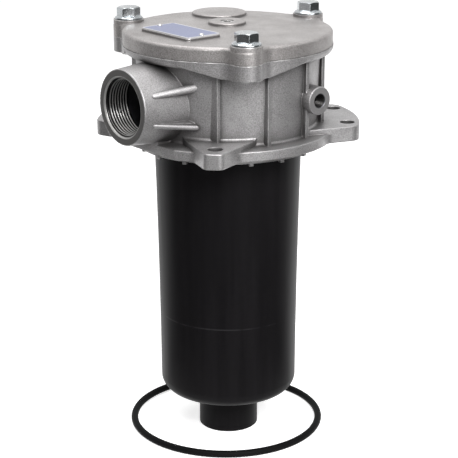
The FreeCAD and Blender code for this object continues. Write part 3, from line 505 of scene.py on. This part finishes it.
def head_zones():
    """Turned faces and bores of the inlet and the indicator port, and the face on the tank; the inlet face
    and both bores are painted dark as painted shade.
    """
    inlet = MOUNTS["inlet"]
    indicator = MOUNTS["indicator"]
    face = (INLET_FACE_X, 0.0, inlet["pos_m"][2])
    small_face = (indicator["pos_m"][0], INDICATOR_FACE_Y, indicator["pos_m"][2])
    out = (-1.0, 0.0, 0.0)
    front = (0.0, -1.0, 0.0)
    bore_r = inlet["dims"]["r_mm"] * MM + INLET_BORE_ROOM
    small_bore_r = indicator["dims"]["r_mm"] * MM + INDICATOR_BORE_ROOM
    return (
        # The inlet face and both bores take painted shade
        turned_zone(face, out, INLET_FACE_R, INLET_FACE_BAND, PORT_FACE_SHADE_DARK, PORT_FACE_SHADE_LIGHT,
                    INLET_FACE_ROUGH),
        turned_zone(face, out, bore_r, INLET_BORE_BAND, BORE_SHADE_DARK, BORE_SHADE_LIGHT, BORE_ROUGH),
        turned_zone(face, out, bore_r, INLET_MOUTH_BAND, TURNED_DARK, TURNED_BRIGHT, INLET_MOUTH_ROUGH),
        turned_zone(small_face, front, INDICATOR_FACE_R, THIN_FACE_BAND, CAST_DARK, CAST_LIGHT,
                    INDICATOR_FACE_ROUGH),
        turned_zone(small_face, front, small_bore_r, INDICATOR_BORE_BAND, BORE_SHADE_DARK, BORE_SHADE_LIGHT, BORE_ROUGH),
        turned_zone(ORIGIN, UP, TANK_FACE_R, TANK_FACE_BAND, CAST_DARK, TURNED_BRIGHT, SEAT_ROUGH),
    )


def cover_zones():
    """Spotfaces under the cover's bolts."""
    made = []
    for angle in BOLT_ANGLES:
        turn = math.radians(angle)
        centre = (BOLT_CIRCLE_R * math.cos(turn), BOLT_CIRCLE_R * math.sin(turn), SPOTFACE_Z)
        made.append(turned_zone(centre, UP, SPOTFACE_R, THIN_FACE_BAND, CAST_DARK, TURNED_BRIGHT, SEAT_ROUGH))
    return made


def thread_metal(name, mount_name, depth, crest_color):
    """Cut thread: crests painted bright as a painted highlight over valleys painted dark as painted shade,
    told apart by their radius.
    """
    mount = MOUNTS[mount_name]
    made, tree, shader, position = start_material(name, Metallic=1.0, Roughness=THREAD_ROUGH)
    turned = use_group(tree, TURNED_ZONE, {"Position": position, "Centre": tuple(mount["pos_m"]),
                                           "Axis": tuple(mount["axis"])})
    limits = [mount["dims"]["r_mm"] * MM - share * depth for share in THREAD_CREST_SHARES]
    crest = remap(tree, turned["Distance"], limits, (1.0, 0.0))
    connect(tree, mix_colors(tree, crest, THREAD_VALLEY_SHADE, crest_color), shader.inputs["Base Color"])
    return made


def plain_metal(name, dark, light, rough):
    """Bright plated or drawn metal with a faint cloud in its colour and gloss."""
    made, tree, shader, position = start_material(name, Metallic=1.0)
    skin = use_group(tree, CAST_SKIN, {"Position": position, "Grain Size": METAL_GRAIN, "Pitting": 0.0})
    edges = use_group(tree, EDGE_WEAR_AND_HIGHLIGHT, {"Position": position, "Width": METAL_EDGE_WIDTH})
    color = mix_colors(tree, remap(tree, skin["Tone"], METAL_TONE_RANGE), dark, light)
    connect(tree, color, shader.inputs["Base Color"])
    clouded = remap(tree, skin["Cloud"], CLOUD_RANGE, (rough + METAL_ROUGH_SPREAD, rough))
    connect(tree, clouded, shader.inputs["Roughness"])
    bump(tree, shader, skin["Height"], METAL_BUMP, METAL_BUMP_DEPTH, edges["Normal"])
    return made


def moulded(name, base, bloom, rough, grain, depth, gloss):
    """Moulded nylon, rubber or paper: a fine skin with a faint paler bloom."""
    made, tree, shader, position = start_material(name, Specular_IOR_Level=gloss)
    skin = use_group(tree, CAST_SKIN, {"Position": position, "Grain Size": grain, "Pitting": SOFT_PITTING})
    color = mix_colors(tree, remap(tree, skin["Cloud"], BLOOM_RANGE), base, bloom)
    connect(tree, color, shader.inputs["Base Color"])
    connect(tree, remap(tree, skin["Cloud"], CLOUD_RANGE, rough), shader.inputs["Roughness"])
    bump(tree, shader, skin["Height"], SOFT_BUMP, depth)
    return made


def bowl_nylon():
    """Drawn-out streaks of a tall moulding, with one faint broken witness line round it."""
    made, tree, shader, position = start_material("bowl_nylon", Specular_IOR_Level=NYLON_GLOSS)
    skin = use_group(tree, CAST_SKIN, {"Position": position, "Grain Size": NYLON_GRAIN,
                                       "Pitting": SOFT_PITTING})
    drawn = vector_math(tree, "MULTIPLY", position, (1.0, 1.0, STREAK_STRETCH)).outputs["Vector"]
    streaks = noise(tree, drawn, STREAK_SCALE, detail=4.0, roughness=0.6)
    height = add(tree, "ShaderNodeSeparateXYZ", {0: position}).outputs[2]
    off_line = calculate(tree, "ABSOLUTE", calculate(tree, "SUBTRACT", height, WITNESS_Z))
    unbroken = remap(tree, off_line, WITNESS_RANGE, (1.0, 0.0))
    line = calculate(tree, "MULTIPLY", unbroken, remap(tree, skin["Cloud"], WITNESS_BREAKS))
    streak_share = remap(tree, streaks, STREAK_RANGE, (0.0, STREAK_SHARE))
    color = mix_colors(tree, streak_share, NYLON_BLACK, BOWL_STREAK)
    connect(tree, mix_colors(tree, line, color, WITNESS_GREY), shader.inputs["Base Color"])
    connect(tree, remap(tree, streaks, CLOUD_RANGE, BOWL_ROUGH), shader.inputs["Roughness"])
    bump(tree, shader, skin["Height"], SOFT_BUMP, NYLON_BUMP_DEPTH)
    return made


def plate_finish():
    """Printed plate: a pale blue field inside a bare bright border."""
    low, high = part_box("nameplate")
    centre = (low + high) / 2
    half = (high - low) / 2
    made, tree, shader, position = start_material("plate_finish", Metallic=PLATE_METALLIC)
    split = add(tree, "ShaderNodeSeparateXYZ", {0: position}).outputs
    reach = []
    for axis in range(2):
        offset = calculate(tree, "ABSOLUTE", calculate(tree, "SUBTRACT", split[axis], centre[axis]))
        reach.append(calculate(tree, "SUBTRACT", offset, half[axis] - PLATE_BORDER))
    on_border = calculate(tree, "GREATER_THAN", calculate(tree, "MAXIMUM", *reach), 0.0)
    below = calculate(tree, "LESS_THAN", split[2], high.z - PLATE_PRINT_DEPTH)
    bare = calculate(tree, "MAXIMUM", on_border, below)
    skin = use_group(tree, CAST_SKIN, {"Position": position, "Grain Size": PLATE_GRAIN, "Pitting": 0.0})
    field = mix_colors(tree, remap(tree, skin["Tone"], PLATE_TONE_RANGE), PLATE_BLUE, PLATE_BLUE_PALE)
    connect(tree, mix_colors(tree, bare, field, BARE_METAL), shader.inputs["Base Color"])
    connect(tree, remap(tree, skin["Cloud"], CLOUD_RANGE, PLATE_ROUGH), shader.inputs["Roughness"])
    bump(tree, shader, skin["Height"], PLATE_BUMP, PLATE_BUMP_DEPTH)
    return made


def paint(names, made):
    """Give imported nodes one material."""
    for name in names:
        materials = NODES[name].data.materials
        materials.clear()
        materials.append(made)


def new_object(name, points, faces):
    """Object of one mesh, from an array of points and a list of faces."""
    mesh = bpy.data.meshes.new(name)
    mesh.from_pydata(points.reshape(-1, 3).tolist(), [], faces)
    made = bpy.data.objects.new(name, mesh)
    bpy.context.scene.collection.objects.link(made)
    return made


def new_piece(name, points, faces, finish):
    """Piece of the filter that is shaded smooth and rides on the housing."""
    piece = new_object(name, points, faces)
    piece.data.polygons.foreach_set("use_smooth", np.ones(len(faces), bool))
    piece.data.update()
    piece.data.materials.append(finish)
    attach(piece, HOUSING)
    return piece


def grid_faces(bands, rows, sides):
    """Bands of faces along a grid whose rows are closed rings.

    Each band joins a row to the next one, and a band after the last row joins it to the first.
    """
    row = np.arange(bands)[:, None]
    column = np.arange(sides)[None, :]
    below = (row + 1) % rows
    after = (column + 1) % sides
    return np.stack([row * sides + column, below * sides + column,
                     below * sides + after, row * sides + after], axis=-1)


def thread_lining(name, mount_name, face, length, pitch, depth, finish):
    """Threaded sleeve inside a port, as one closed ring.

    Its inner wall is a function of turn and depth into the port: the radius is the thread's
    major radius less the depth times a flattened triangle wave of (distance / pitch - turn),
    and that depth grows from nothing over its own length at the mouth and fades over the last turn.
    """
    mount = MOUNTS[mount_name]
    axis = Vector(mount["axis"]).normalized()
    major_r = mount["dims"]["r_mm"] * MM - LINING_ROOM
    centre = Vector(mount["pos_m"])
    side = Vector(UP)
    across = axis.cross(side)
    steps = int(length / pitch * STEPS_PER_PITCH)
    turn = np.linspace(0.0, 1.0, STEPS_PER_TURN, endpoint=False)[None, :]
    depth_in = np.linspace(0.0, length, steps)[:, None]
    triangle = np.abs(((depth_in / pitch - turn) % 1.0) * 2.0 - 1.0)
    wave = np.clip(triangle * (1.0 + 2.0 * THREAD_FLAT) - THREAD_FLAT, 0.0, 1.0)
    fade = np.clip(np.minimum(depth_in / depth, (length - depth_in) / pitch), 0.0, 1.0)
    inner = major_r - LINING_WALL - depth * wave * fade
    radius = np.vstack([inner, np.full((2, STEPS_PER_TURN), major_r)])
    along = np.vstack([np.repeat(depth_in, STEPS_PER_TURN, axis=1),
                       np.full((1, STEPS_PER_TURN), length), np.zeros((1, STEPS_PER_TURN))])
    angle = turn * 2.0 * math.pi
    mouth = centre + axis * (face - centre.dot(axis))
    points = (np.array(mouth)[None, None, :]
              - along[..., None] * np.array(axis)
              + (radius * np.cos(angle))[..., None] * np.array(side)
              + (radius * np.sin(angle))[..., None] * np.array(across))
    rows = steps + 2
    inside_out = grid_faces(rows, rows, STEPS_PER_TURN)
    outwards = inside_out[..., [0, 3, 2, 1]]
    return new_piece(name, points, outwards.reshape(-1, 4).tolist(), finish)


def closed_tube(name, points, finish):
    """Piece from a grid of points: each row is one closed ring, and flat faces close both ends."""
    rows, sides = points.shape[:2]
    walls = grid_faces(rows - 1, rows, sides).reshape(-1, 4).tolist()
    ends = [list(range(sides)), list(range(rows * sides - 1, (rows - 1) * sides - 1, -1))]
    return new_piece(name, points, walls + ends, finish)


def wound_spring(name, node, wire_r, turns, finish):
    """Compression spring with closed ends, as one closed tube in the box of a packed spring.

    The wire's centre line is a helix: its height rises one wire thickness over the first and
    the last turn and evenly between them. The tube is the circle of the wire's radius, drawn
    in the upright plane through the spring's axis at each step of that line.
    """
    low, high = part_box(node)
    mean_r = (high.x - low.x) / 2 - wire_r
    rise = high.z - low.z - 2 * wire_r
    turn = np.linspace(0.0, turns, int(turns * SPRING_STEPS) + 1)[:, None]
    height = np.interp(turn, [0.0, 1.0, turns - 1.0, turns], [0.0, 2 * wire_r, rise - 2 * wire_r, rise])
    round_wire = np.linspace(0.0, 2.0 * math.pi, WIRE_SIDES, endpoint=False)[None, :]
    radius = mean_r + wire_r * np.cos(round_wire)
    angle = 2.0 * math.pi * turn
    points = np.stack([radius * np.cos(angle), radius * np.sin(angle),
                       low.z + wire_r + height + wire_r * np.sin(round_wire)], axis=-1)
    piece = closed_tube(name, points, finish)
    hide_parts(node)
    return piece


def fin_crest(name, side, tilt, root_t, reach, length, finish):
    """Rounded crest on one of the port's four fins, drawn out of the fin's flat edge.

    Along the fin the crest's height over the port's axis is the fin's own plus a share of the
    reach, and its half width goes from the tip's towards the root's, with both ends rounded.
    Across the fin it is half an ellipse, closed by a foot that stands inside the fin.
    """
    share = np.linspace(0.0, 1.0, FIN_STEPS + 1)[:, None]
    along = share * length
    nose = np.sqrt(np.clip(np.minimum(along, length - along) / FIN_NOSE, FIN_NOSE_LEAST, 1.0))
    half_w = ((FIN_TIP_T + (root_t - FIN_TIP_T) * along / FIN_LENGTH) / 2 + FIN_SKIN) * nose
    edge = FIN_EDGE_R + FIN_SLOPE * along
    round_edge = np.linspace(0.0, math.pi, FIN_ARCH_STEPS + 1)[None, :]
    arch_across = half_w * np.cos(round_edge)
    arch_height = edge + reach * share + FIN_BULGE * half_w * np.sin(round_edge)
    foot_height = np.broadcast_to(edge - FIN_FOOT, half_w.shape)
    across = side * np.hstack([arch_across, -FIN_FOOT_SHARE * half_w, FIN_FOOT_SHARE * half_w])
    height = np.hstack([arch_height, foot_height, foot_height])
    turn = math.radians(tilt)
    axis_z = MOUNTS["inlet"]["pos_m"][2]
    points = np.stack([np.broadcast_to(along - FIN_START_X, across.shape),
                       side * (height * math.cos(turn) - across * math.sin(turn)),
                       axis_z + height * math.sin(turn) + across * math.cos(turn)], axis=-1)
    return closed_tube(name, points, finish)


def softbox(name, place, width, height, watts):
    """Rectangular lamp at a place, turned to face the head."""
    lamp = bpy.data.lights.new(name, "AREA")
    lamp.shape = "RECTANGLE"
    lamp.size = width
    lamp.size_y = height
    lamp.energy = watts
    holder = bpy.data.objects.new(name, lamp)
    direction = LAMP_AIM - Vector(place)
    turn = direction.to_track_quat("-Z", "Y").to_matrix().to_4x4()
    holder.matrix_world = Matrix.Translation(Vector(place)) @ turn
    bpy.context.scene.collection.objects.link(holder)


def seen_or_mirrored(tree):
    """One for rays from the camera, off a mirror or through glass, and nought for all others."""
    path = tree.nodes.new("ShaderNodeLightPath").outputs
    indirect = calculate(tree, "MAXIMUM", path["Is Glossy Ray"], path["Is Transmission Ray"])
    return calculate(tree, "MAXIMUM", path["Is Camera Ray"], indirect)


def white_world():
    """Even studio light for the object, and a white background for camera and mirror rays."""
    world = bpy.data.worlds.new("studio")
    bpy.context.scene.world = world
    world.use_nodes = True
    tree = world.node_tree
    tree.nodes.clear()
    fill = add(tree, "ShaderNodeBackground", {"Color": WHITE, "Strength": WORLD_FILL}).outputs[0]
    white = add(tree, "ShaderNodeBackground", {"Color": WHITE, "Strength": BACKGROUND_WHITE}).outputs[0]
    both = add(tree, "ShaderNodeMixShader", {0: seen_or_mirrored(tree), 1: fill, 2: white}).outputs[0]
    connect(tree, both, tree.nodes.new("ShaderNodeOutputWorld").inputs["Surface"])


def lay_floor():
    """Pale round floor that fades to white for the camera and keeps a soft contact shadow."""
    angle = np.linspace(0.0, 2.0 * math.pi, FLOOR_SIDES, endpoint=False)
    rim = np.stack([FLOOR_R * np.cos(angle), FLOOR_R * np.sin(angle), np.full(FLOOR_SIDES, FLOOR_Z)], axis=-1)
    floor = new_object("floor", rim, [list(range(FLOOR_SIDES))])
    made = bpy.data.materials.new("floor_white")
    made.use_nodes = True
    tree = made.node_tree
    tree.nodes.clear()
    matt = add(tree, "ShaderNodeBsdfDiffuse", {"Color": FLOOR_TONE}).outputs[0]
    strength = calculate(tree, "MULTIPLY", seen_or_mirrored(tree), FLOOR_GLOW)
    glow = add(tree, "ShaderNodeEmission", {"Color": WHITE, "Strength": strength}).outputs[0]
    both = add(tree, "ShaderNodeAddShader", {0: matt, 1: glow}).outputs[0]
    connect(tree, both, tree.nodes.new("ShaderNodeOutputMaterial").inputs["Surface"])
    floor.data.materials.append(made)


def dark_cards():
    """Dark sweep on the camera's side that only mirror rays meet, to give the metal its contrast.

    It is a profile of radius and height, turned through an arc about the filter's axis.
    """
    profile = np.array([(CARD_INNER_R, FLOOR_Z + CARD_LIFT), (CARD_OUTER_R, FLOOR_Z + CARD_LIFT),
                        (CARD_OUTER_R, FLOOR_Z + CARD_TOP)])
    corners = len(profile)
    middle = math.radians(CAMERA_HEADING + 180.0)
    half = math.radians(CARD_HALF_ARC)
    turn = np.linspace(middle - half, middle + half, CARD_STEPS)[:, None]
    points = np.stack([profile[:, 0] * np.cos(turn), profile[:, 0] * np.sin(turn),
                       np.broadcast_to(profile[:, 1], (CARD_STEPS, corners))], axis=-1)
    first = np.arange(CARD_STEPS - 1)[:, None] * corners + np.arange(corners - 1)[None, :]
    faces = np.stack([first, first + corners, first + corners + 1, first + 1], axis=-1)
    cards = new_object("dark_cards", points, faces.reshape(-1, 4).tolist())
    made = bpy.data.materials.new("card_black")
    made.use_nodes = True
    shader = made.node_tree.nodes["Principled BSDF"]
    shader.inputs["Base Color"].default_value = CARD_TONE
    shader.inputs["Roughness"].default_value = CARD_ROUGH
    cards.data.materials.append(made)
    for rays in ("camera", "diffuse", "transmission", "shadow"):
        setattr(cards, "visible_" + rays, False)


def set_camera():
    """Camera at its place, turned to its heading, then pitched down and rolled."""
    lens = bpy.data.cameras.new("camera")
    lens.lens = CAMERA_LENS
    lens.sensor_width = CAMERA_SENSOR
    lens.clip_end = CAMERA_REACH
    camera = bpy.data.objects.new("camera", lens)
    heading = Matrix.Rotation(math.radians(CAMERA_HEADING - 90.0), 4, "Z")
    pitch = Matrix.Rotation(math.radians(90.0 - CAMERA_PITCH), 4, "X")
    roll = Matrix.Rotation(math.radians(CAMERA_ROLL), 4, "Z")
    camera.matrix_world = Matrix.Translation(CAMERA_PLACE) @ heading @ pitch @ roll
    bpy.context.scene.collection.objects.link(camera)
    bpy.context.scene.camera = camera


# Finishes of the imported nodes
head_cast = cast_aluminium("head_cast", head_zones(), CAST_DARK, CAST_LIGHT, HEAD_PITTING)
spring_steel = plain_metal("spring_steel", STEEL_DARK, STEEL_LIGHT, SPRING_ROUGH)
paint(("head_casting",), head_cast)
paint(("cover",), cast_aluminium("cover_cast", cover_zones(), COVER_DARK, COVER_LIGHT, COVER_PITTING))
paint(("cover_bolts", "core_tube", "stem_nut", "spring_plate"),
      plain_metal("zinc_plate", ZINC_DARK, ZINC_LIGHT, ZINC_ROUGH))
paint(("vent_plug",), plain_metal("polished_plug", TURNED_BRIGHT, PLUG_BRIGHT, PLUG_ROUGH))
paint(("nameplate_rivets", "bypass_seat", "bypass_poppet"),
      plain_metal("bright_aluminium", TURNED_BRIGHT, BARE_METAL, BRIGHT_ROUGH))
paint(("hold_down_spring",), spring_steel)
paint(("nameplate",), plate_finish())
paint(("bowl",), bowl_nylon())
paint(("element_top_cap", "element_bottom_cap", "bypass_cage"),
      moulded("black_nylon", NYLON_BLACK, NYLON_BLOOM, NYLON_ROUGH, NYLON_GRAIN, NYLON_BUMP_DEPTH,
              NYLON_GLOSS))
paint(("flange_o_ring", "cover_o_ring", "bowl_o_ring", "neck_o_ring", "poppet_seal"),
      moulded("black_rubber", RUBBER_BLACK, RUBBER_BLOOM, RUBBER_ROUGH, RUBBER_GRAIN, RUBBER_BUMP_DEPTH,
              RUBBER_GLOSS))
paint(("pleated_media", "outer_wrap"),
      moulded("filter_paper", PAPER_SHADE, PAPER_CREAM, PAPER_ROUGH, PAPER_GRAIN, PAPER_BUMP_DEPTH,
              PAPER_GLOSS))

# Threads of the two ports, with a painted highlight on the inlet's crests and painted shade in the valleys
# and on the small thread's crests
thread_lining("inlet_thread", "inlet", -INLET_FACE_X - INLET_THREAD_START, INLET_THREAD_LENGTH,
              INLET_PITCH, INLET_DEPTH,
              thread_metal("inlet_thread_metal", "inlet", INLET_DEPTH, THREAD_CREST_HIGHLIGHT))
thread_lining("indicator_thread", "indicator", -INDICATOR_FACE_Y - INDICATOR_THREAD_START,
              INDICATOR_THREAD_LENGTH, INDICATOR_PITCH, INDICATOR_DEPTH,
              thread_metal("indicator_thread_metal", "indicator", INDICATOR_DEPTH, SMALL_THREAD_CREST_SHADE))

# Rounded crests of the port's fins
for flank, side in (("front", -1.0), ("back", 1.0)):
    for level, tilt, root_t, reach, length in (
            ("upper", FIN_UPPER_TILT, FIN_UPPER_ROOT_T, FIN_UPPER_REACH, FIN_UPPER_CREST),
            ("lower", FIN_LOWER_TILT, FIN_LOWER_ROOT_T, FIN_LOWER_REACH, FIN_LOWER_CREST)):
        fin_crest(f"port_fin_{flank}_{level}", side, tilt, root_t, reach, length, head_cast)

# Wound spring of the bypass valve
valve_spring = wound_spring("valve_spring", "bypass_spring", BYPASS_WIRE_R, BYPASS_SPRING_TURNS, spring_steel)
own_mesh(valve_spring)

# Studio
lay_floor()
dark_cards()
for lamp_name, place, width, height, watts in LAMPS:
    softbox(lamp_name, place, width, height, watts)
white_world()
set_camera()
bpy.context.scene.view_settings.view_transform = "Standard"
